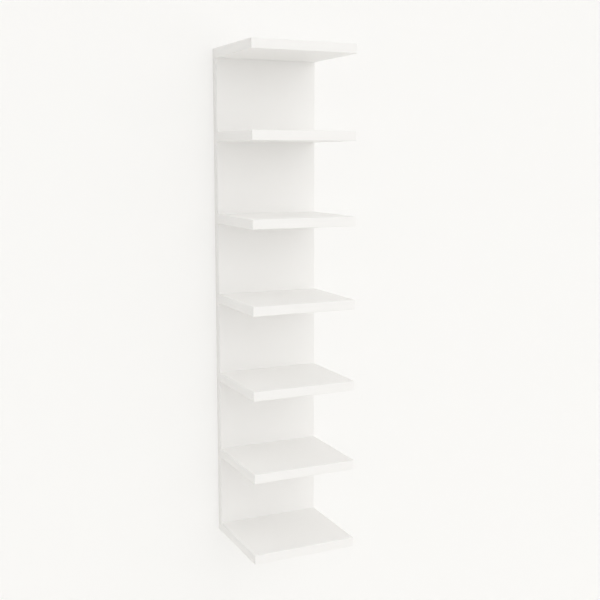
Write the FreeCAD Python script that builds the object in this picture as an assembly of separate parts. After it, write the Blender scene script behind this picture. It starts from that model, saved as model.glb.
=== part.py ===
import FreeCAD
import Part
import math
import os

from FreeCAD import Vector

# A wall-hung bookcase: seven cantilevered shelves on one full-height back board.
# Every board is hollow-core: two fibreboard skins glued to a timber frame, a paper honeycomb
# inside, and a rounded plastic edging on each edge that shows.
# Long screws and dowels tie each shelf to the back board, and four keyhole plates let into
# the rear of the back board hang the whole unit on wall screws.
# Lengths are millimetres. X runs along the width, Y towards the wall, Z up.
# The origin is on the rear face, at the centre of the four keyholes.

# Boards
UNIT_WIDTH = 400.0
SHELF_DEPTH = 340.0
SHELF_THICKNESS = 35.0
BACK_THICKNESS = 35.0
SKIN_THICKNESS = 3.0
EDGING_THICKNESS = 3.0
EDGE_RADIUS = 2.5

# Shelves, evenly spaced, with the same clear height between any two of them
SHELF_COUNT = 7
BAY_HEIGHT = 266.0

# Timber frames inside the boards
BACK_STILE_WIDTH = 44.0
BACK_RAIL_HEIGHT = 64.0
SHELF_RAIL_WIDTH = 32.0
REAR_RAIL_MARGIN = 12.0

# Paper honeycomb
CELL_WIDTH = 60.0
CELL_WALL = 1.6
SMALLEST_CELL_SHARE = 0.12

# Screws from the rear of the back board into the shelves
SCREW_DIAMETER = 7.0
SCREW_LENGTH = 86.0
SCREW_HEAD_DIAMETER = 13.0
SCREW_SINK = 0.4
SCREW_TIP_LENGTH = 8.0
SCREW_SOCKET_WIDTH = 5.0
SCREW_SOCKET_DEPTH = 4.0
SCREW_END_DISTANCE = 28.0
SCREWS_PER_SHELF = 3

# Dowels that line each shelf up
DOWEL_DIAMETER = 8.0
DOWEL_LENGTH = 40.0
DOWEL_CHAMFER = 1.2
DOWEL_END_GAP = 1.0

# Keyhole plates and the pockets behind them
PLATE_WIDTH = 22.0
PLATE_THICKNESS = 2.0
PLATE_WEB = 4.5
KEYHOLE_END_DISTANCE = 180.5
KEYHOLE_ENTRY_DIAMETER = 10.0
KEYHOLE_SLOT_WIDTH = 5.5
KEYHOLE_RISE = 12.0
HEAD_POCKET_MARGIN = 1.5
HEAD_POCKET_DEPTH = 10.0

# Screws that hold the keyhole plates
PLATE_SCREW_DIAMETER = 4.0
PLATE_SCREW_LENGTH = 22.0
PLATE_SCREW_HEAD_DIAMETER = 7.4
PLATE_SCREW_TIP_LENGTH = 5.0
PLATE_SCREW_SLOT_WIDTH = 0.9
PLATE_SCREW_SLOT_LENGTH = 4.4
PLATE_SCREW_SLOT_DEPTH = 1.2
PLATE_SCREW_SINK = 0.1

# Fits
HOLE_CLEARANCE = 0.2
PILOT_CLEARANCE = 0.05
RECESS_CLEARANCE = 0.25
PILOT_END_GAP = 3.0
CUT_OVERRUN = 1.0

# Sizes that follow from the ones above
SHELF_PITCH = SHELF_THICKNESS + BAY_HEIGHT
UNIT_HEIGHT = (SHELF_COUNT - 1) * SHELF_PITCH + SHELF_THICKNESS
SIDE = UNIT_WIDTH / 2
TOP = UNIT_HEIGHT / 2
INNER_SIDE = SIDE - EDGING_THICKNESS
INNER_TOP = TOP - EDGING_THICKNESS
BACK_FACE = -BACK_THICKNESS
FRONT_FACE = BACK_FACE - SHELF_DEPTH
STILE_EDGE = INNER_SIDE - BACK_STILE_WIDTH
SCREW_SIDE = STILE_EDGE - SCREW_END_DISTANCE
SCREW_PITCH = 2 * SCREW_SIDE / (SCREWS_PER_SHELF - 1)
SCREW_BITE = SKIN_THICKNESS + SCREW_LENGTH - BACK_THICKNESS
REAR_RAIL_WIDTH = SCREW_BITE + PILOT_END_GAP + REAR_RAIL_MARGIN
KEYHOLE_SIDE = INNER_SIDE - BACK_STILE_WIDTH / 2
KEYHOLE_HEIGHT = TOP - KEYHOLE_END_DISTANCE
PLATE_SCREW_OFFSET = KEYHOLE_RISE + (KEYHOLE_SLOT_WIDTH + PLATE_SCREW_HEAD_DIAMETER) / 2 + PLATE_WEB
PLATE_HALF_LENGTH = PLATE_SCREW_OFFSET + PLATE_SCREW_HEAD_DIAMETER / 2 + PLATE_WEB
PLATE_END = PLATE_HALF_LENGTH - PLATE_WIDTH / 2
TOWARDS_ROOM = Vector(0, -1, 0)
FULL_TURN = 360.0
HEXAGON_SIDES = 6
HEXAGON_RATIO = math.sqrt(3)


# Small shape helpers

def block(x_limits, y_limits, z_limits):
    """Rectangular solid between a low and a high limit on each axis."""
    sizes = [high - low for low, high in (x_limits, y_limits, z_limits)]
    return Part.makeBox(*sizes, Vector(x_limits[0], y_limits[0], z_limits[0]))


def moved(shape, x, y, z):
    """Copy of a shape, shifted."""
    copy = shape.copy()
    copy.translate(Vector(x, y, z))
    return copy


def bore(diameter, depth, x, y, z):
    """Round cutter that starts at a point and runs towards the room."""
    return Part.makeCylinder(diameter / 2, depth, Vector(x, y, z), TOWARDS_ROOM)


def turned(profile):
    """Solid turned about the Y axis from points of radius and distance in front of y = 0."""
    points = [Vector(radius, -distance, 0) for radius, distance in profile]
    face = Part.Face(Part.makePolygon(points + points[:1]))
    return face.revolve(Vector(0, 0, 0), Vector(0, 1, 0), FULL_TURN)


def prism(corners, depth):
    """Solid from corner points in the XZ plane, carried from y = 0 towards the room."""
    points = [Vector(x, 0, z) for x, z in corners]
    return Part.Face(Part.makePolygon(points + points[:1])).extrude(TOWARDS_ROOM * depth)


def hexagon(width):
    """Corners of a hexagon that measures width across its flats, with flats left and right."""
    radius = width / HEXAGON_RATIO
    step = math.tau / HEXAGON_SIDES
    angles = [step * corner + step / 2 for corner in range(HEXAGON_SIDES)]
    return [(radius * math.cos(a), radius * math.sin(a)) for a in angles]


def round_ended(width, low, high, depth):
    """Upright bar with half-round ends centred at low and high, from y = 0 towards the room."""
    radius = width / 2
    rights = Vector(radius, 0, low), Vector(radius, 0, high)
    lefts = Vector(-radius, 0, high), Vector(-radius, 0, low)
    upper = Part.Arc(rights[1], Vector(0, 0, high + radius), lefts[0])
    lower = Part.Arc(lefts[1], Vector(0, 0, low - radius), rights[0])
    sides = [Part.LineSegment(*rights), Part.LineSegment(*lefts)]
    edges = [curve.toShape() for curve in (sides[0], upper, sides[1], lower)]
    return Part.Face(Part.Wire(edges)).extrude(TOWARDS_ROOM * depth)


def cut_from(piece, cutters):
    """Piece less the cutters that reach it, as one solid."""
    reaching = [c for c in cutters if c.BoundBox.intersect(piece.BoundBox)]
    return piece.cut(reaching).removeSplitter().Solids[0] if reaching else piece


# Fasteners, made at the origin with the head at y = 0 and the tip towards the room

def shelf_screw():
    """Connecting screw whose flat head bears on a cross rail and pulls a shelf to the back board."""
    head = SCREW_HEAD_DIAMETER / 2
    shank = SCREW_DIAMETER / 2
    seat = SKIN_THICKNESS - SCREW_SINK
    end = seat + SCREW_LENGTH
    body = turned([(0, 0), (head, 0), (head, seat), (shank, seat), (shank, end - SCREW_TIP_LENGTH),
                   (0, end)])
    return body.cut(prism(hexagon(SCREW_SOCKET_WIDTH), SCREW_SOCKET_DEPTH)).Solids[0]


def shelf_screw_hole():
    """Hole for one connecting screw's shank through the back board, widened in the rear skin."""
    head = SCREW_HEAD_DIAMETER / 2 + HOLE_CLEARANCE
    shank = SCREW_DIAMETER / 2 + HOLE_CLEARANCE
    through = BACK_THICKNESS + CUT_OVERRUN
    return turned([(0, -CUT_OVERRUN), (head, -CUT_OVERRUN), (head, SKIN_THICKNESS),
                   (shank, SKIN_THICKNESS), (shank, through), (0, through)])


def plate_screw():
    """Small countersunk wood screw with a cross recess."""
    head = PLATE_SCREW_HEAD_DIAMETER / 2
    shank = PLATE_SCREW_DIAMETER / 2
    body = turned([(0, 0), (head, 0), (shank, head - shank),
                   (shank, PLATE_SCREW_LENGTH - PLATE_SCREW_TIP_LENGTH), (0, PLATE_SCREW_LENGTH)])
    long_half = PLATE_SCREW_SLOT_LENGTH / 2
    slim_half = PLATE_SCREW_SLOT_WIDTH / 2
    depth = (-PLATE_SCREW_SLOT_DEPTH, CUT_OVERRUN)
    across = block((-long_half, long_half), depth, (-slim_half, slim_half))
    upright = block((-slim_half, slim_half), depth, (-long_half, long_half))
    return body.cut([across, upright]).Solids[0]


def dowel():
    """Wooden dowel with chamfered ends, half of it in front of y = 0."""
    radius = DOWEL_DIAMETER / 2
    half = DOWEL_LENGTH / 2
    tip = radius - DOWEL_CHAMFER
    shoulder = half - DOWEL_CHAMFER
    return turned([(0, -half), (tip, -half), (radius, -shoulder), (radius, shoulder),
                   (tip, half), (0, half)])


# Keyhole plate, with the centre of its entry hole at the origin

def keyhole_plate():
    """Steel hanger plate: the wall screw's head goes in below and the plate drops onto its shank."""
    plate = round_ended(PLATE_WIDTH, -PLATE_END, PLATE_END, PLATE_THICKNESS)
    through = PLATE_THICKNESS + 2 * CUT_OVERRUN
    entry = bore(KEYHOLE_ENTRY_DIAMETER, through, 0, CUT_OVERRUN, 0)
    slot = moved(round_ended(KEYHOLE_SLOT_WIDTH, 0, KEYHOLE_RISE, through), 0, CUT_OVERRUN, 0)
    seats = [moved(plate_screw_seat(), 0, 0, z) for z in plate_screw_rows()]
    return plate.cut([entry, slot] + seats).Solids[0]


def plate_screw_rows():
    """Heights of one plate's two screws, from the centre of its entry hole."""
    return -PLATE_SCREW_OFFSET, PLATE_SCREW_OFFSET


def plate_screw_seat():
    """Countersunk hole for a plate's screw, running on past the screw's tip."""
    head = PLATE_SCREW_HEAD_DIAMETER / 2 + PILOT_CLEARANCE
    shank = PLATE_SCREW_DIAMETER / 2 + PILOT_CLEARANCE
    cone_end = PLATE_SCREW_SINK + head - shank
    end = PLATE_SCREW_SINK + PLATE_SCREW_LENGTH + PILOT_END_GAP
    return turned([(0, -CUT_OVERRUN), (head, -CUT_OVERRUN), (head, PLATE_SCREW_SINK),
                   (shank, cone_end), (shank, end), (0, end)])


def keyhole_cutters():
    """Recess for one plate, pocket for the wall screw's head, and holes for the plate's screws."""
    recess_width = PLATE_WIDTH + 2 * RECESS_CLEARANCE
    pocket_width = KEYHOLE_ENTRY_DIAMETER + 2 * HEAD_POCKET_MARGIN
    recess = round_ended(recess_width, -PLATE_END, PLATE_END, PLATE_THICKNESS + CUT_OVERRUN)
    pocket = round_ended(pocket_width, 0, KEYHOLE_RISE, HEAD_POCKET_DEPTH + CUT_OVERRUN)
    cutters = [moved(recess, 0, CUT_OVERRUN, 0), moved(pocket, 0, CUT_OVERRUN, 0)]
    return cutters + [moved(plate_screw_seat(), 0, 0, z) for z in plate_screw_rows()]


# Places

def shelf_limits(shelf):
    """Bottom and top of a shelf, counted from 0 at the top of the unit."""
    top = TOP - shelf * SHELF_PITCH
    return top - SHELF_THICKNESS, top


def shelf_middle(shelf):
    """Height of the middle of a shelf's thickness, where its fasteners lie."""
    return sum(shelf_limits(shelf)) / 2


def screw_columns():
    """Sideways places of one shelf's screws."""
    return [-SCREW_SIDE + SCREW_PITCH * number for number in range(SCREWS_PER_SHELF)]


def dowel_columns():
    """Sideways places of one shelf's dowels, midway between neighbouring screws."""
    return [x + SCREW_PITCH / 2 for x in screw_columns()[:-1]]


def back_rail_limits(shelf):
    """Bottom and top of the cross rail behind a shelf, kept inside the edging at both ends."""
    middle = shelf_middle(shelf)
    low = middle - BACK_RAIL_HEIGHT / 2
    high = middle + BACK_RAIL_HEIGHT / 2
    shift = min(INNER_TOP - high, 0) + max(-INNER_TOP - low, 0)
    return low + shift, high + shift


def keyhole_places():
    """Name and place of each keyhole's entry hole."""
    places = {}
    for level, z in (("upper", KEYHOLE_HEIGHT), ("lower", -KEYHOLE_HEIGHT)):
        for hand, x in (("left", -KEYHOLE_SIDE), ("right", KEYHOLE_SIDE)):
            places[f"{level}_{hand}_keyhole_plate"] = (x, z)
    return places


# Honeycomb

def honeycomb(width, length, thickness):
    """Sheet of hexagonal paper cells, centred on the origin in X and Y and standing on z = 0."""
    outline = Part.makePlane(width, length, Vector(-width / 2, -length / 2, 0))
    inner_width = width - 2 * CELL_WALL
    inner_length = length - 2 * CELL_WALL
    window = Part.makePlane(inner_width, inner_length, Vector(-inner_width / 2, -inner_length / 2, 0))
    corners = [Vector(x, y, 0) for x, y in hexagon(CELL_WIDTH - CELL_WALL)]
    cell = Part.Face(Part.makePolygon(corners + corners[:1]))
    row_pitch = CELL_WIDTH * HEXAGON_RATIO / 2
    rows = math.ceil(length / row_pitch / 2)
    columns = math.ceil(width / CELL_WIDTH / 2)
    cells = []
    for row in range(-rows, rows + 1):
        stagger = CELL_WIDTH / 2 * (row % 2)
        for column in range(-columns - 1, columns + 1):
            place = moved(cell, column * CELL_WIDTH + stagger, row * row_pitch, 0)
            if place.BoundBox.intersect(window.BoundBox):
                cells += place.common(window).Faces
    cells = [c for c in cells if c.Area > SMALLEST_CELL_SHARE * cell.Area]
    return outline.cut(cells).Faces[0].extrude(Vector(0, 0, thickness))


# Back board

def rounded_back():
    """Outer form of the back board, with every edge rounded."""
    board = block((-SIDE, SIDE), (BACK_FACE, 0), (-TOP, TOP))
    return board.makeFillet(EDGE_RADIUS, board.Edges)


def back_cutters():
    """Holes that the screws, dowels and keyhole plates need in the back board."""
    cutters = []
    dowel_depth = DOWEL_LENGTH / 2 + DOWEL_END_GAP
    dowel_hole = DOWEL_DIAMETER + 2 * PILOT_CLEARANCE
    for shelf in range(SHELF_COUNT):
        z = shelf_middle(shelf)
        cutters += [moved(shelf_screw_hole(), x, 0, z) for x in screw_columns()]
        for x in dowel_columns():
            cutters.append(bore(dowel_hole, dowel_depth + CUT_OVERRUN, x, BACK_FACE + dowel_depth, z))
    for x, z in keyhole_places().values():
        cutters += [moved(cutter, x, 0, z) for cutter in keyhole_cutters()]
    return cutters


def back_board():
    """Named pieces of the back board."""
    form = rounded_back()
    core_front = BACK_FACE + SKIN_THICKNESS
    core_rear = -SKIN_THICKNESS
    core = (core_front, core_rear)
    depth = (BACK_FACE, 0)
    inner_width = (-INNER_SIDE, INNER_SIDE)
    inner_height = (-INNER_TOP, INNER_TOP)
    full_height = (-TOP, TOP)
    pieces = {
        "back_front_skin": form.common(block(inner_width, (BACK_FACE, core_front), inner_height)),
        "back_rear_skin": form.common(block(inner_width, (core_rear, 0), inner_height)),
        "back_left_stile": block((-INNER_SIDE, -STILE_EDGE), core, inner_height),
        "back_right_stile": block((STILE_EDGE, INNER_SIDE), core, inner_height),
    }
    for shelf in range(SHELF_COUNT):
        pieces[f"back_cross_rail_{shelf + 1}"] = block(
            (-STILE_EDGE, STILE_EDGE), core, back_rail_limits(shelf))
    cutters = back_cutters()
    pieces = {name: cut_from(piece, cutters) for name, piece in pieces.items()}
    pieces["back_left_edging"] = form.common(block((-SIDE, -INNER_SIDE), depth, full_height))
    pieces["back_right_edging"] = form.common(block((INNER_SIDE, SIDE), depth, full_height))
    pieces["back_top_edging"] = form.common(block(inner_width, depth, (INNER_TOP, TOP)))
    pieces["back_bottom_edging"] = form.common(block(inner_width, depth, (-TOP, -INNER_TOP)))
    pieces["back_honeycomb"] = Part.makeCompound(back_cores(core_rear - core_front, core_rear))
    return pieces


def back_cores(thickness, rear):
    """One honeycomb block for each bay of the back board's frame."""
    cores = []
    for bay in range(SHELF_COUNT - 1):
        low = back_rail_limits(bay + 1)[1]
        high = back_rail_limits(bay)[0]
        core = honeycomb(2 * STILE_EDGE, high - low, thickness)
        core.rotate(Vector(0, 0, 0), Vector(1, 0, 0), FULL_TURN / 4)
        cores.append(moved(core, 0, rear, (low + high) / 2))
    return cores


# Shelves

def rounded_shelf(low, high):
    """Outer form of a shelf, with every edge rounded but those against the back board."""
    board = block((-SIDE, SIDE), (FRONT_FACE, BACK_FACE), (low, high))
    free = [edge for edge in board.Edges if edge.BoundBox.YMin < BACK_FACE]
    return board.makeFillet(EDGE_RADIUS, free)


def shelf_frame(core, cutters):
    """Four timber rails of one shelf, the rear one wide enough to take the screws."""
    front = FRONT_FACE + EDGING_THICKNESS
    front_inner = front + SHELF_RAIL_WIDTH
    rear_inner = BACK_FACE - REAR_RAIL_WIDTH
    side_inner = INNER_SIDE - SHELF_RAIL_WIDTH
    inner_width = (-INNER_SIDE, INNER_SIDE)
    rear_rail = block(inner_width, (rear_inner, BACK_FACE), core)
    rails = [
        block(inner_width, (front, front_inner), core),
        cut_from(rear_rail, cutters),
        block((-INNER_SIDE, -side_inner), (front_inner, rear_inner), core),
        block((side_inner, INNER_SIDE), (front_inner, rear_inner), core),
    ]
    cells = honeycomb(2 * side_inner, rear_inner - front_inner, core[1] - core[0])
    return Part.makeCompound(rails), moved(cells, 0, (front_inner + rear_inner) / 2, core[0])


def shelf_cutters(z):
    """Pilot holes and dowel holes in one shelf's rear rail."""
    pilot = SCREW_DIAMETER + 2 * PILOT_CLEARANCE
    pilot_depth = SCREW_BITE + PILOT_END_GAP + CUT_OVERRUN
    dowel_hole = DOWEL_DIAMETER + 2 * PILOT_CLEARANCE
    dowel_depth = DOWEL_LENGTH / 2 + DOWEL_END_GAP + CUT_OVERRUN
    start = BACK_FACE + CUT_OVERRUN
    pilots = [bore(pilot, pilot_depth, x, start, z) for x in screw_columns()]
    return pilots + [bore(dowel_hole, dowel_depth, x, start, z) for x in dowel_columns()]


def shelf_board(shelf):
    """Named pieces of one shelf."""
    low, high = shelf_limits(shelf)
    form = rounded_shelf(low, high)
    edged_front = FRONT_FACE + EDGING_THICKNESS
    inner_width = (-INNER_SIDE, INNER_SIDE)
    inner_depth = (edged_front, BACK_FACE)
    core = (low + SKIN_THICKNESS, high - SKIN_THICKNESS)
    frame, cells = shelf_frame(core, shelf_cutters(shelf_middle(shelf)))
    edging = [
        form.common(block((-SIDE, SIDE), (FRONT_FACE, edged_front), (low, high))),
        form.common(block((-SIDE, -INNER_SIDE), inner_depth, (low, high))),
        form.common(block((INNER_SIDE, SIDE), inner_depth, (low, high))),
    ]
    name = f"shelf_{shelf + 1}"
    return {
        f"{name}_top_skin": form.common(block(inner_width, inner_depth, (core[1], high))),
        f"{name}_bottom_skin": form.common(block(inner_width, inner_depth, (low, core[0]))),
        f"{name}_frame": frame,
        f"{name}_honeycomb": cells,
        f"{name}_edging": Part.makeCompound(edging),
    }


# Hardware

def hardware():
    """Screws, dowels and keyhole plates in their places."""
    heights = [shelf_middle(shelf) for shelf in range(SHELF_COUNT)]
    screw = shelf_screw()
    peg = dowel()
    screws = [moved(screw, x, -SCREW_SINK, z) for z in heights for x in screw_columns()]
    pegs = [moved(peg, x, BACK_FACE, z) for z in heights for x in dowel_columns()]
    pieces = {"shelf_screws": Part.makeCompound(screws), "shelf_dowels": Part.makeCompound(pegs)}
    plate = keyhole_plate()
    small_screw = plate_screw()
    small_screws = []
    for name, (x, z) in keyhole_places().items():
        pieces[name] = moved(plate, x, 0, z)
        for row in plate_screw_rows():
            small_screws.append(moved(small_screw, x, -PLATE_SCREW_SINK, z + row))
    pieces["keyhole_plate_screws"] = Part.makeCompound(small_screws)
    return pieces


def bookcase():
    """Every named piece of the bookcase."""
    pieces = back_board()
    for shelf in range(SHELF_COUNT):
        pieces.update(shelf_board(shelf))
    pieces.update(hardware())
    return pieces


os.makedirs("parts", exist_ok=True)
for piece_name, piece_shape in bookcase().items():
    piece_shape.exportStep(f"parts/{piece_name}.step")
print(f"unit {UNIT_WIDTH} x {BACK_THICKNESS + SHELF_DEPTH} x {UNIT_HEIGHT} mm")
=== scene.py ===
# %% [markdown]
# A tower of seven white shelves stands out from one tall white back board that hangs on a wall.
# A construction model already holds every board, rail, screw and hanger at its real size, in metres:
# X runs along the width, Y into the wall and Z up.
# This lesson dresses that model. It wraps each board in one smooth skin, gives every part its finish,
# and sets up the wall, the light and the camera.
# Nothing of the loaded model is moved, so each new piece takes its size and place from it.

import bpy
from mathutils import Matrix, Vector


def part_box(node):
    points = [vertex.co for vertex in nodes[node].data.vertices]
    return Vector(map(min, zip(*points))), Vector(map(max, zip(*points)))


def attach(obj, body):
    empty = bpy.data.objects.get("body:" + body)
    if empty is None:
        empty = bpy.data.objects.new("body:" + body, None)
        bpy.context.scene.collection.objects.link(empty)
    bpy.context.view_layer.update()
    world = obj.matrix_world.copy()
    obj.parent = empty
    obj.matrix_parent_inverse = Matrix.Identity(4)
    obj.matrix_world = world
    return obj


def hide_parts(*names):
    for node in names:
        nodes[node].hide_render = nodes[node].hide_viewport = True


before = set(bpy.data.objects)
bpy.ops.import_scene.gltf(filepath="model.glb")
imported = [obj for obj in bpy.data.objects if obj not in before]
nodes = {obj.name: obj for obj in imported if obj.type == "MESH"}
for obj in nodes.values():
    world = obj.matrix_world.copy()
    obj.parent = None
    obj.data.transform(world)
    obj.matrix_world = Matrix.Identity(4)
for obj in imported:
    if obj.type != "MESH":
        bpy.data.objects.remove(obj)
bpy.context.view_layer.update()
DIGITS = 4


def in_metres(lengths):
    """Lengths rounded to a tenth of a millimetre, for printing."""
    return [round(length, DIGITS) for length in lengths]


# %% [markdown]
# Blender's operators act on whatever is selected, and after the import that is everything.
# So each step first clears the selection, and then picks its own faces or edges by where they lie.
# Every board starts as a cube stretched between two corners. Its place and scale are pushed down
# into the mesh, so that the object itself stays at the origin like the nodes of the loaded model.
# The first box is the top shelf, and its edging, which goes round the board, gives the corners.

# %% Start a shelf as a box
import bpy


def choose(piece):
    """Leaves one piece selected and active, in object mode."""
    if bpy.context.mode != "OBJECT":
        bpy.ops.object.mode_set(mode="OBJECT")
    bpy.ops.object.select_all(action="DESELECT")
    piece.select_set(True)
    bpy.context.view_layer.objects.active = piece


def settle(piece, name):
    """Names a new piece and pushes its place, turn and scale into its mesh."""
    piece.name = piece.data.name = name
    choose(piece)
    bpy.ops.object.transform_apply(location=True, rotation=True, scale=True)
    return piece


def box_between(name, low, high):
    """Cube primitive stretched between two corners."""
    bpy.ops.object.select_all(action="DESELECT")
    bpy.ops.mesh.primitive_cube_add(size=1, location=(low + high) / 2)
    bpy.ops.transform.resize(value=high - low)
    return settle(bpy.context.object, name)


shelf_low, shelf_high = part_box("shelf_1_edging")
shelf = box_between("shelf_1_shell", shelf_low, shelf_high)
print(f"box for a shelf: {in_metres(shelf_high - shelf_low)} m")

# %% [markdown]
# A shelf board is hollow: a skin above and below, a strip of edging on the three edges that show,
# and a timber frame and paper honeycomb inside. Skins and edging are equally thick and finished
# together, so the eye sees one unbroken white form.
# That form could be five separate plates, but then every joint would need smoothing. Here the box is
# pushed in from its rear face with inset and extrude. What is left is a tray with thin walls, open
# towards the back board, and the timber frame of the loaded model just fits inside it.

# %% Hollow one shelf from behind
import bmesh

FACING = 0.5

skin_low, skin_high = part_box("shelf_1_top_skin")
WALL_THICKNESS = skin_high.z - skin_low.z


def pick(piece, kind, wanted):
    """Opens a piece in edit mode with only the wanted faces or edges selected."""
    choose(piece)
    bpy.ops.object.mode_set(mode="EDIT")
    bpy.ops.mesh.select_mode(type=kind)
    bpy.ops.mesh.select_all(action="DESELECT")
    grid = bmesh.from_edit_mesh(piece.data)
    for part in (grid.faces if kind == "FACE" else grid.edges):
        part.select_set(wanted(part))
    bmesh.update_edit_mesh(piece.data)


def hollow_from_rear(piece, depth):
    """Insets the face that looks towards the wall and pushes it in, which leaves an open tray."""
    pick(piece, "FACE", lambda face: face.normal.y > FACING)
    bpy.ops.mesh.inset(thickness=WALL_THICKNESS)
    bpy.ops.mesh.extrude_region_move(TRANSFORM_OT_translate={"value": (0, -depth, 0)})
    bpy.ops.object.mode_set(mode="OBJECT")


hollow_from_rear(shelf, shelf_high.y - shelf_low.y - WALL_THICKNESS)
print(f"shelf tray with {WALL_THICKNESS * 1000:.1f} mm walls, {len(shelf.data.polygons)} faces")

# %% [markdown]
# Every edge that a hand can reach is rounded to a radius of a few millimetres. A bevel operator with
# several steps does this on the box's own outer edges, and leaves the inside of the tray square.
# Smooth shading would bend the light on the large flat faces as well, so a Weighted Normal modifier
# keeps those flat and lets only the narrow rounded strips turn.

# %% Round the edges of the shelf
import math

EDGE_RADIUS = 0.0025
EDGE_STEPS = 6
ROUND_PROFILE = 0.5
TOUCH = 1e-5
SMOOTH_BELOW = math.radians(40)


def round_edges(piece, low, high, free=lambda edge: True):
    """Rounds the outer edges of a box between two corners that pass a test."""
    def at_corner(vertex):
        gaps = [min(abs(c - a), abs(c - b)) for c, a, b in zip(vertex.co, low, high)]
        return max(gaps) < TOUCH

    pick(piece, "EDGE", lambda edge: all(map(at_corner, edge.verts)) and free(edge))
    bpy.ops.mesh.bevel(offset=EDGE_RADIUS, segments=EDGE_STEPS, profile=ROUND_PROFILE,
                       affect="EDGES")
    bpy.ops.object.mode_set(mode="OBJECT")


def smooth(piece):
    """Smooth shading on round places only."""
    choose(piece)
    bpy.ops.object.shade_smooth_by_angle(angle=SMOOTH_BELOW)
    piece.modifiers.new("flat stays flat", "WEIGHTED_NORMAL").keep_sharp = True
    bpy.ops.object.modifier_apply(modifier="flat stays flat")


round_edges(shelf, shelf_low, shelf_high,
            lambda edge: min(v.co.y for v in edge.verts) < shelf_high.y - TOUCH)
smooth(shelf)
print(f"rounded shelf: {len(shelf.data.polygons)} faces")

# %% [markdown]
# All seven shelves are the same board, so the finished one is copied. Each copy gets a mesh of its
# own and moves down to where the loaded model has that shelf.
# A shell stands for three nodes: the top skin, the bottom skin and the edging.

# %% Copy the shelf to its seven places
SHELF_COUNT = sum(name.endswith("_edging") and name.startswith("shelf_") for name in nodes)


def copy_to(piece, name, shift):
    """Copy of a piece with its own mesh, shifted."""
    choose(piece)
    bpy.ops.object.duplicate()
    bpy.ops.transform.translate(value=shift)
    return settle(bpy.context.object, name)


shelves = [shelf]
for number in range(2, SHELF_COUNT + 1):
    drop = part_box(f"shelf_{number}_edging")[0].z - shelf_low.z
    shelves.append(copy_to(shelf, f"shelf_{number}_shell", (0, 0, drop)))
for number, shell in enumerate(shelves, 1):
    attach(shell, "root")
    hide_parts(f"shelf_{number}_top_skin", f"shelf_{number}_bottom_skin",
                f"shelf_{number}_edging")
print(f"{len(shelves)} shelves, {-drop / (SHELF_COUNT - 1):.4f} m from one to the next")

# %% [markdown]
# The back board is the same kind of hollow board, as tall as the whole unit. Its front skin and the
# edging round it are one tray as well, and the rear skin of the loaded model closes it from behind.
# Here all outer edges are rounded, because the board stands free all round.

# %% Model the back board's casing
back_names = ["back_left_edging", "back_right_edging", "back_top_edging", "back_bottom_edging"]
back_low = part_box("back_left_edging")[0]
back_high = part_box("back_right_edging")[1]
casing = box_between("back_casing", back_low, back_high)
hollow_from_rear(casing, back_high.y - back_low.y - WALL_THICKNESS)
round_edges(casing, back_low, back_high)
print(f"back casing: {in_metres(back_high - back_low)} m")

# %% [markdown]
# Behind each shelf the casing is drilled for three long screws and two dowels. The holes hide behind
# the shelves, but without them the screws of the loaded model would run through solid board.
# Their places could be typed in, but then they would stay behind when the model changes. So they are
# read from the loaded model: each tip is the screw's foremost point, and the dowels sit midway
# between neighbouring screws.

# %% Find the screws and dowels
tip_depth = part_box("shelf_screws")[0].y
tips = [v.co for v in nodes["shelf_screws"].data.vertices if v.co.y < tip_depth + TOUCH]
screw_columns = sorted({round(tip.x, DIGITS) for tip in tips})
screw_rows = sorted({round(tip.z, DIGITS) for tip in tips})
dowel_columns = [(a + b) / 2 for a, b in zip(screw_columns, screw_columns[1:])]
print(f"screws at {screw_columns} and dowels at {dowel_columns}, in {len(screw_rows)} rows")

# %% [markdown]
# One drill is a cylinder that lies along the depth of the board, and the others are copies of it.
# Each hole could be cut by itself, but a Boolean modifier takes all the drills away at once.

# %% Drill the casing
SCREW_HOLE_RADIUS = 0.0037
DOWEL_HOLE_RADIUS = 0.00405
DRILL_SIDES = 32
DRILL_LENGTH = 4 * WALL_THICKNESS
QUARTER_TURN = (math.pi / 2, 0, 0)


def drill(radius):
    """Round cutter through the casing's front, at the middle of the board."""
    bpy.ops.object.select_all(action="DESELECT")
    bpy.ops.mesh.primitive_cylinder_add(vertices=DRILL_SIDES, radius=radius, depth=DRILL_LENGTH,
                                        location=(0, back_low.y, 0), rotation=QUARTER_TURN)
    return settle(bpy.context.object, "drill")


def take_away(piece, cutters):
    """Joins the cutters and cuts them from a piece."""
    choose(cutters[0])
    for cutter in cutters:
        cutter.select_set(True)
    bpy.ops.object.join()
    cut = piece.modifiers.new("cut", "BOOLEAN")
    cut.operation = "DIFFERENCE"
    cut.object = cutters[0]
    choose(piece)
    bpy.ops.object.modifier_apply(modifier=cut.name)
    bpy.data.objects.remove(cutters[0])


drills = []
for columns, radius in ((screw_columns, SCREW_HOLE_RADIUS), (dowel_columns, DOWEL_HOLE_RADIUS)):
    master = drill(radius)
    drills += [copy_to(master, "drill", (x, 0, z)) for x in columns for z in screw_rows]
    bpy.data.objects.remove(master)
take_away(casing, drills)
smooth(casing)
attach(casing, "root")
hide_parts("back_front_skin", *back_names)
print(f"{len(drills)} holes drilled, casing now has {len(casing.data.polygons)} faces")

# %% [markdown]
# A finish is a network of shader nodes, and most of it is arithmetic. Written node by node that is
# long, so a small class wraps one socket: Python sums on it add Math nodes to the network.
# Every other node comes from one method, which sets the node up, feeds its sockets and hands back
# one of its outputs.

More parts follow.
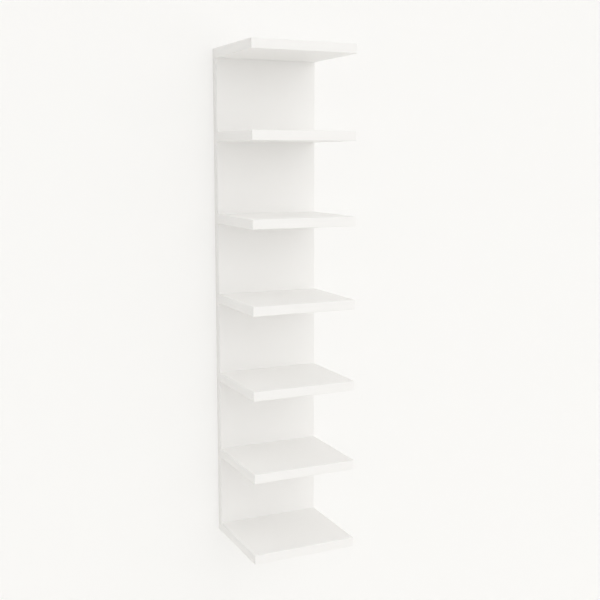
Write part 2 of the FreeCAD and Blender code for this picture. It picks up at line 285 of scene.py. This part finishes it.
# %% Shader sums as Python sums
class Wire:
    """One socket of a node tree. Sums on wires add Math nodes."""

    def __init__(self, tree, socket=None):
        self.tree = tree
        self.socket = socket

    def node(self, kind, settings, inputs, outlet=None):
        """Adds a node with its settings and inputs, and returns one of its outputs as a wire."""
        node = self.tree.nodes.new(kind)
        for name, value in settings.items():
            setattr(node, name, value)
        for name, value in inputs.items():
            named = [s for s in node.inputs if s.enabled and name in (s.name, s.identifier)]
            socket = node.inputs[name] if isinstance(name, int) else named[0]
            if isinstance(value, Wire):
                self.tree.links.new(value.socket, socket)
            else:
                socket.default_value = value
        found = [s for s in node.outputs if s.enabled and s.name == outlet]
        return Wire(self.tree, found[0] if found else None)

    def maths(self, operation, *values):
        """Math node on wires and numbers."""
        inputs = dict(enumerate(values))
        return self.node("ShaderNodeMath", {"operation": operation}, inputs, "Value")

    def __add__(self, other):
        return self.maths("ADD", self, other)

    def __sub__(self, other):
        return self.maths("SUBTRACT", self, other)

    def __rsub__(self, other):
        return self.maths("SUBTRACT", other, self)

    def __mul__(self, other):
        return self.maths("MULTIPLY", self, other)

    def __gt__(self, other):
        return self.maths("GREATER_THAN", self, other)

    def __abs__(self):
        return self.maths("ABSOLUTE", self)

    __radd__ = __add__
    __rmul__ = __mul__


# %% [markdown]
# All finishes share a few steps: they start from a point's place on the object, make noise from it,
# blend two colours by that noise, raise a relief, and end in one shader.
# Each finish could spell these steps out, but as helpers they keep every finish to a few lines.
# With a bump node's distance and strength both at full, a relief counts in metres.

# %% Steps that all finishes share
FULL = 1.0
PLAIN_DETAIL = 2.0


def new_finish(name):
    """Empty material with its wire, and the Object coordinates that its patterns follow."""
    material = bpy.data.materials.new(name)
    material.use_nodes = True
    material.node_tree.nodes.clear()
    wire = Wire(material.node_tree)
    return material, wire, wire.node("ShaderNodeTexCoord", {}, {}, "Object")


def grain(wire, place, scale, detail=PLAIN_DETAIL, stretch=(1, 1, 1)):
    """Noise from 0 to 1, drawn out by a stretch along each axis."""
    drawn = wire.node("ShaderNodeMapping", {}, {"Vector": place, "Scale": stretch}, "Vector")
    inputs = {"Vector": drawn, "Scale": scale, "Detail": detail}
    return wire.node("ShaderNodeTexNoise", {}, inputs, "Fac")


def blend(wire, mask, first, second):
    """Colour between two others."""
    inputs = {"Factor": mask, "A": first, "B": second}
    return wire.node("ShaderNodeMix", {"data_type": "RGBA"}, inputs, "Result")


def shade(wire, colour, roughness, height, **constants):
    """Principled shader with a relief in metres."""
    relief = {"Height": height, "Distance": FULL, "Strength": FULL}
    normal = wire.node("ShaderNodeBump", {}, relief, "Normal")
    inputs = {"Base Color": colour, "Roughness": roughness, "Normal": normal}
    inputs.update({name.replace("_", " "): value for name, value in constants.items()})
    return wire.node("ShaderNodeBsdfPrincipled", {}, inputs, "BSDF")


def put_out(wire, shader):
    """Links a shader to the material's output."""
    wire.node("ShaderNodeOutputMaterial", {}, {"Surface": shader})


def finish_with(piece, material):
    """Gives a piece one finish all over."""
    piece.data.materials.clear()
    piece.data.materials.append(material)


# %% [markdown]
# The strips of edging end where the skins begin, and under the lacquer a hairline stays there.
# Such a line could be cut into the mesh, but it is only a quarter of a millimetre wide. So the finish
# draws it: how far a point lies inside a strip's end says whether it is on the line.

# %% Hairlines along the edging
HAIRLINE_WIDTH = 0.00025


def axis_of(wire, place, axis):
    """One coordinate of a place."""
    return wire.node("ShaderNodeSeparateXYZ", {}, {"Vector": place}, axis)


def hairline(wire, distance):
    """1 on a line where a distance is zero, fading to 0 at the hairline's width."""
    inputs = {"Value": abs(distance), "From Max": HAIRLINE_WIDTH, "To Min": 1.0, "To Max": 0.0}
    return wire.node("ShaderNodeMapRange", {}, inputs, "Result")


def inside_front(wire, place):
    """How far a point lies behind the shelves' front edging."""
    return axis_of(wire, place, "Y") - (shelf_low.y + WALL_THICKNESS)


def inside_sides(wire, place):
    """How far a point lies inside the side edging."""
    return (shelf_high.x - WALL_THICKNESS) - abs(axis_of(wire, place, "X"))


def inside_ends(wire, place):
    """How far a point lies inside the edging at the top and bottom of the back board."""
    return (back_high.z - WALL_THICKNESS) - abs(axis_of(wire, place, "Z"))


print(f"hairlines {WALL_THICKNESS * 1000:.1f} mm from the edges")

# %% [markdown]
# The boards are sprayed with a satin white lacquer. Sprayed paint is never quite even: it drifts a
# little in tone and sheen over a hand's breadth, and it dries with a fine ripple like the peel of an
# orange. A flat white would show none of this, so slow noise moves colour and roughness by a trace,
# fine noise makes the ripple, and the hairlines are a little darker, duller and deeper.

# %% Satin white lacquer
WHITE = (0.948, 0.943, 0.932, 1)
SHADED_WHITE = (0.938, 0.932, 0.920, 1)
HAIRLINE_TONE = (0.70, 0.68, 0.64, 1)
HAIRLINE_SHARE = 0.5
HAIRLINE_DEPTH = 0.00006
DRIFT_SCALE = 5.0
SHEEN_SCALE = 14.0
DRIFT_DETAIL = 3.0
RIPPLE_SCALE = 650.0
RIPPLE_DETAIL = 1.0
RIPPLE_HEIGHT = 0.000012
SATIN_ROUGHNESS = 0.40
SHEEN_RANGE = 0.10
HAIRLINE_DULLING = 0.15


def white_lacquer(name, long_strip, short_strip):
    """Lacquer with hairlines along long strips of edging and the short strips between them."""
    material, wire, place = new_finish(name)
    inside_long = long_strip(wire, place)
    inside_short = short_strip(wire, place)
    lines = hairline(wire, inside_long) + hairline(wire, inside_short) * (inside_long > 0)
    drift = grain(wire, place, DRIFT_SCALE, DRIFT_DETAIL)
    sheen = grain(wire, place, SHEEN_SCALE, DRIFT_DETAIL)
    ripple = grain(wire, place, RIPPLE_SCALE, RIPPLE_DETAIL)
    white = blend(wire, drift, WHITE, SHADED_WHITE)
    colour = blend(wire, HAIRLINE_SHARE * lines, white, HAIRLINE_TONE)
    roughness = SATIN_ROUGHNESS + SHEEN_RANGE * sheen + HAIRLINE_DULLING * lines
    height = RIPPLE_HEIGHT * ripple - HAIRLINE_DEPTH * lines
    put_out(wire, shade(wire, colour, roughness, height))
    return material


shelf_lacquer = white_lacquer("white_lacquer_on_shelves", inside_front, inside_sides)
back_lacquer = white_lacquer("white_lacquer_on_back_board", inside_sides, inside_ends)
for shell in shelves:
    finish_with(shell, shelf_lacquer)
finish_with(casing, back_lacquer)
finish_with(nodes["back_rear_skin"], back_lacquer)
print("lacquered", len(shelves), "shelves and the back board")

# %% [markdown]
# Inside the boards are the parts that nobody sees once the unit hangs: softwood frames, beech dowels
# and brown paper honeycomb. They are still part of the model and can be taken apart, so they get
# real finishes too.
# Wood could have the rings of a trunk, but on thin sawn rails little more than streaks shows of them.
# So the grain is noise drawn out along the length of each rail. The side rails of a shelf run the
# other way from its front and rear rails, and a mask turns their grain.

# %% Softwood and beech
PALE_WOOD = (0.66, 0.49, 0.30, 1)
DARK_WOOD = (0.50, 0.33, 0.17, 1)
PALE_BEECH = (0.64, 0.43, 0.26, 1)
DARK_BEECH = (0.47, 0.28, 0.15, 1)
DRAWN_OUT = 0.06
ALONG_X = (DRAWN_OUT, 1, 1)
ALONG_Y = (1, DRAWN_OUT, 1)
ALONG_Z = (1, 1, DRAWN_OUT)
SOFTWOOD_SCALE = 120.0
BEECH_SCALE = 400.0
FIBRE_RATIO = 12.0
FIBRE_DETAIL = 4.0
RING_SHARE = 0.75
WOOD_ROUGHNESS = 0.62
WOOD_DULLING = 0.2
WOOD_FIBRE_HEIGHT = 0.0002

cells_low, cells_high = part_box("shelf_1_honeycomb")


def in_side_rail(wire, place):
    """1 between the front and rear rails of a shelf, where its side rails lie, and 0 elsewhere."""
    middle = (cells_low.y + cells_high.y) / 2
    return (cells_high.y - middle) - abs(axis_of(wire, place, "Y") - middle) > 0


def wood(name, pale, dark, scale, stretch, side_stretch=None):
    """Wood with its grain drawn out one way, and another way in a shelf's side rails."""
    material, wire, place = new_finish(name)
    rings = grain(wire, place, scale, FIBRE_DETAIL, stretch)
    fibre = grain(wire, place, FIBRE_RATIO * scale, FIBRE_DETAIL, stretch)
    figure = RING_SHARE * rings + (1 - RING_SHARE) * fibre
    if side_stretch:
        side_figure = grain(wire, place, scale, FIBRE_DETAIL, side_stretch)
        figure += in_side_rail(wire, place) * (side_figure - figure)
    colour = blend(wire, figure, pale, dark)
    roughness = WOOD_ROUGHNESS + WOOD_DULLING * fibre
    put_out(wire, shade(wire, colour, roughness, WOOD_FIBRE_HEIGHT * fibre))
    return material


stile_wood = wood("softwood_upright", PALE_WOOD, DARK_WOOD, SOFTWOOD_SCALE, ALONG_Z)
rail_wood = wood("softwood_crosswise", PALE_WOOD, DARK_WOOD, SOFTWOOD_SCALE, ALONG_X)
frame_wood = wood("softwood_frame", PALE_WOOD, DARK_WOOD, SOFTWOOD_SCALE, ALONG_X, ALONG_Y)
beech = wood("beech", PALE_BEECH, DARK_BEECH, BEECH_SCALE, ALONG_Y)
print(f"four woods, side rails {cells_high.y - cells_low.y:.4f} m long")

# %% [markdown]
# The honeycomb is brown paper, and the loaded model already has its cells. So the finish only adds
# what paper shows from close by: short fibres, and clouds where they lie thicker.

# %% Honeycomb paper
PALE_PAPER = (0.50, 0.35, 0.21, 1)
DARK_PAPER = (0.39, 0.26, 0.15, 1)
PAPER_SCALE = 900.0
CLOUD_SCALE = 40.0
CLOUD_SHARE = 0.5
PAPER_ROUGHNESS = 0.8
PAPER_DULLING = 0.1
PAPER_FIBRE_HEIGHT = 0.00003


def paper(name):
    """Brown paper with short fibres."""
    material, wire, place = new_finish(name)
    fibre = grain(wire, place, PAPER_SCALE, FIBRE_DETAIL)
    cloud = grain(wire, place, CLOUD_SCALE)
    figure = (1 - CLOUD_SHARE) * fibre + CLOUD_SHARE * cloud
    colour = blend(wire, figure, PALE_PAPER, DARK_PAPER)
    roughness = PAPER_ROUGHNESS + PAPER_DULLING * fibre
    put_out(wire, shade(wire, colour, roughness, PAPER_FIBRE_HEIGHT * fibre))
    return material


honeycomb_paper = paper("honeycomb_paper")
print("made", honeycomb_paper.name, "with", len(honeycomb_paper.node_tree.nodes), "nodes")

# %% [markdown]
# The loaded model names every stile, rail, frame, honeycomb and dowel, so each inner part gets its
# finish by its name. Stiles stand upright and cross rails lie across, and the grain follows.

# %% Finish the inner parts
INNER_FINISHES = {"_stile": stile_wood, "_rail_": rail_wood, "_frame": frame_wood,
                  "_honeycomb": honeycomb_paper, "_dowels": beech}

inner_parts = 0
for word, finish in INNER_FINISHES.items():
    for name in nodes:
        if word in name:
            finish_with(nodes[name], finish)
            inner_parts += 1
print("wood and paper on", inner_parts, "inner parts")

# %% [markdown]
# Screws and hanger plates are steel with a thin coat of bright zinc. Zinc is not a mirror: it is
# grey, a little patchy in sheen, with fine rolling marks. It is fully metallic, and noise moves its
# tone and roughness.

# %% Zinc-coated steel
BRIGHT_ZINC = (0.70, 0.71, 0.72, 1)
DULL_ZINC = (0.55, 0.56, 0.58, 1)
PATCH_SCALE = 180.0
PATCH_DETAIL = 3.0
MARK_SCALE = 2500.0
MARK_HEIGHT = 0.000006
ZINC_ROUGHNESS = 0.26
PATCH_DULLING = 0.16
MARK_DULLING = 0.06


def zinc(name):
    """Zinc coat with patches and fine upright rolling marks."""
    material, wire, place = new_finish(name)
    patches = grain(wire, place, PATCH_SCALE, PATCH_DETAIL)
    marks = grain(wire, place, MARK_SCALE, stretch=ALONG_Z)
    colour = blend(wire, patches, BRIGHT_ZINC, DULL_ZINC)
    roughness = ZINC_ROUGHNESS + PATCH_DULLING * patches + MARK_DULLING * marks
    put_out(wire, shade(wire, colour, roughness, MARK_HEIGHT * marks, Metallic=FULL))
    return material


steel = zinc("zinc_coated_steel")
hardware = [name for name in nodes if "screws" in name or name.endswith("keyhole_plate")]
for name in hardware:
    finish_with(nodes[name], steel)
print("zinc on", hardware)

# %% [markdown]
# The unit hangs on a plain off-white wall with nothing else in sight. The wall is one large plane
# that faces the room. It stands a hair behind the back board and has an opening a little smaller
# than the board, so that the rear can be looked at too. The opening is the plane's own face, inset,
# shrunk to size and deleted.
# A pale floor lies below, out of the camera's sight.

# %% Wall and floor
WALL_GAP = 0.0003
WALL_SIDE = 14.0
WALL_MARGIN = 1.0
OPENING_LAP = 0.0015
FLOOR_HEIGHT = -1.65


def plane(name, location, rotation):
    """Large square plane."""
    bpy.ops.object.select_all(action="DESELECT")
    bpy.ops.mesh.primitive_plane_add(size=WALL_SIDE, location=location, rotation=rotation)
    return settle(bpy.context.object, name)


wall = plane("wall", (0, WALL_GAP, 0), QUARTER_TURN)
pick(wall, "FACE", lambda face: True)
bpy.ops.mesh.inset(thickness=WALL_MARGIN)
inset_side = WALL_SIDE - 2 * WALL_MARGIN
opening_width = back_high.x - back_low.x - 2 * OPENING_LAP
opening_height = back_high.z - back_low.z - 2 * OPENING_LAP
bpy.ops.transform.resize(value=(opening_width / inset_side, 1, opening_height / inset_side),
                         center_override=(0, WALL_GAP, 0))
bpy.ops.mesh.delete(type="FACE")
bpy.ops.object.mode_set(mode="OBJECT")
floor = plane("floor", (0, 0, FLOOR_HEIGHT), (0, 0, 0))
print("wall opening", in_metres((opening_width, opening_height)))

# %% [markdown]
# Wall and floor have a matt paint with the faint texture that a roller leaves. Paint alone would be
# greyer than the nearly white surroundings, and more light would bleach the shelves. So where it is
# seen, a share of it is a plain pale tone that shines by itself, and the rest takes the shadows.
# Seen from behind, the wall would hide everything. Its paint is therefore clear on the back.

# %% Backdrop paint
WALL_PAINT = (0.945, 0.939, 0.925, 1)
WALL_SHADE = (0.94, 0.934, 0.919, 1)
SHADE_SCALE = 0.8
STIPPLE_SCALE = 400.0
STIPPLE_HEIGHT = 0.00002
MATT_ROUGHNESS = 0.9
MATT_SPECULAR = 0.1
PLAIN_TONE = (0.99, 0.985, 0.968, 1)
PLAIN_SHARE = 0.56


def seen_directly(wire):
    """1 for what the camera sees, also mirrored or through glass, and 0 for light that spreads."""
    rays = [wire.node("ShaderNodeLightPath", {}, {}, f"Is {ray} Ray")
            for ray in ("Camera", "Glossy", "Transmission")]
    return wire.maths("MINIMUM", rays[0] + rays[1] + rays[2], 1.0)


def mix_shaders(wire, share, first, second):
    """Shader that is a share of the second and for the rest the first."""
    return wire.node("ShaderNodeMixShader", {}, {0: share, 1: first, 2: second}, "Shader")


def backdrop_paint(name, one_sided):
    """Matt paint with a roller texture, lifted towards a plain pale tone where it is seen."""
    material, wire, place = new_finish(name)
    colour = blend(wire, grain(wire, place, SHADE_SCALE), WALL_PAINT, WALL_SHADE)
    stipple = STIPPLE_HEIGHT * grain(wire, place, STIPPLE_SCALE)
    paint = shade(wire, colour, MATT_ROUGHNESS, stipple, Specular_IOR_Level=MATT_SPECULAR)
    tone = {"Color": PLAIN_TONE, "Strength": FULL}
    plain = wire.node("ShaderNodeEmission", {}, tone, "Emission")
    shader = mix_shaders(wire, PLAIN_SHARE * seen_directly(wire), paint, plain)
    if one_sided:
        clear = wire.node("ShaderNodeBsdfTransparent", {}, {}, "BSDF")
        behind = wire.node("ShaderNodeNewGeometry", {}, {}, "Backfacing")
        shader = mix_shaders(wire, behind, shader, clear)
    put_out(wire, shader)
    return material


finish_with(wall, backdrop_paint("wall_paint", True))
finish_with(floor, backdrop_paint("floor_paint", False))
print("painted the wall and the floor, with a plain share of", PLAIN_SHARE)

# %% [markdown]
# The light is soft and almost even, as in a white room with large windows. Most of it comes from all
# round, so the surroundings themselves shine. The camera sees them in the same pale tone as the wall,
# and so do reflections, whatever strength the light has.

# %% Light from all round
LIGHT_TINT = (1.0, 0.993, 0.981)
ROOM_STRENGTH = 0.36
ROOM_SEEN = (0.955, 0.949, 0.932, 1)


def light_room():
    """Even light from all round, seen as a pale backdrop."""
    world = bpy.data.worlds.new("white_room")
    bpy.context.scene.world = world
    world.use_nodes = True
    world.node_tree.nodes.clear()
    wire = Wire(world.node_tree)
    shine = {"Color": (*LIGHT_TINT, 1), "Strength": ROOM_STRENGTH}
    tone = {"Color": ROOM_SEEN, "Strength": FULL}
    glow, seen = (wire.node("ShaderNodeBackground", {}, inputs, "Background")
                  for inputs in (shine, tone))
    room = mix_shaders(wire, seen_directly(wire), glow, seen)
    wire.node("ShaderNodeOutputWorld", {}, {"Surface": room})


light_room()
print("room light with a strength of", ROOM_STRENGTH)

# %% [markdown]
# Two broad lamps add a little shape: one high on the left, and one on the right that makes the
# fronts brighter than the left sides. A third lights the rear from behind the wall, which keeps it
# off the front.
# Area lamps would fade with distance. A sun lamp with a very wide angle lights the whole unit alike,
# with no hard shadow. The lamps are kept out of reflections, or the satin boards would glare from
# some sides.

# %% Three broad lamps
from mathutils import Vector

LAMP_SPREAD = math.radians(90)
# Degrees to the right of the front, degrees above the horizon, and strength
LAMPS = {
    "left_lamp": (-40, 45, 0.76),
    "right_lamp": (40, 14, 1.56),
    "rear_lamp": (165, 30, 1.2),
}


def add_lamp(name, azimuth, elevation, strength):
    """Wide sun lamp that shines from a direction given in degrees."""
    across, up = math.radians(azimuth), math.radians(elevation)
    level = math.cos(up)
    shine = Vector((-math.sin(across) * level, math.cos(across) * level, -math.sin(up)))
    bpy.ops.object.light_add(type="SUN", rotation=shine.to_track_quat("-Z", "Y").to_euler())
    lamp = bpy.context.object
    lamp.name = name
    lamp.data.color = LIGHT_TINT
    lamp.data.energy = strength
    lamp.data.angle = LAMP_SPREAD
    lamp.visible_glossy = False


for name, (azimuth, elevation, strength) in LAMPS.items():
    add_lamp(name, azimuth, elevation, strength)
print("lamps", LAMPS)

# %% [markdown]
# The camera looks at the unit from the left and a little from above. Its place, turn and lens come
# from where the corners of the shelves lie in the photograph: the tops of the five lower shelves show
# and those of the upper two do not, so the eye is at a height between the second and third shelf.
# From there it is tipped down, until the middle of the unit is in the middle of the picture.
# A camera that isn't turned looks straight down, so its tilt is counted from level.

# %% Camera
CAMERA_PLACE = (-1.42113, -3.36758, 0.52624)
CAMERA_TURN = -25.0607
CAMERA_TILT = -8.5259
LEVEL = 90
CAMERA_LENS = 56.943
SENSOR_WIDTH = 36.0

aim = (math.radians(LEVEL + CAMERA_TILT), 0, math.radians(CAMERA_TURN))
bpy.ops.object.camera_add(location=CAMERA_PLACE, rotation=aim)
camera = bpy.context.object
camera.data.lens = CAMERA_LENS
camera.data.sensor_width = SENSOR_WIDTH
bpy.context.scene.camera = camera
bpy.context.scene.view_settings.view_transform = "Standard"
print(f"camera {camera.location.length:.2f} m from the unit, {CAMERA_LENS} mm lens")
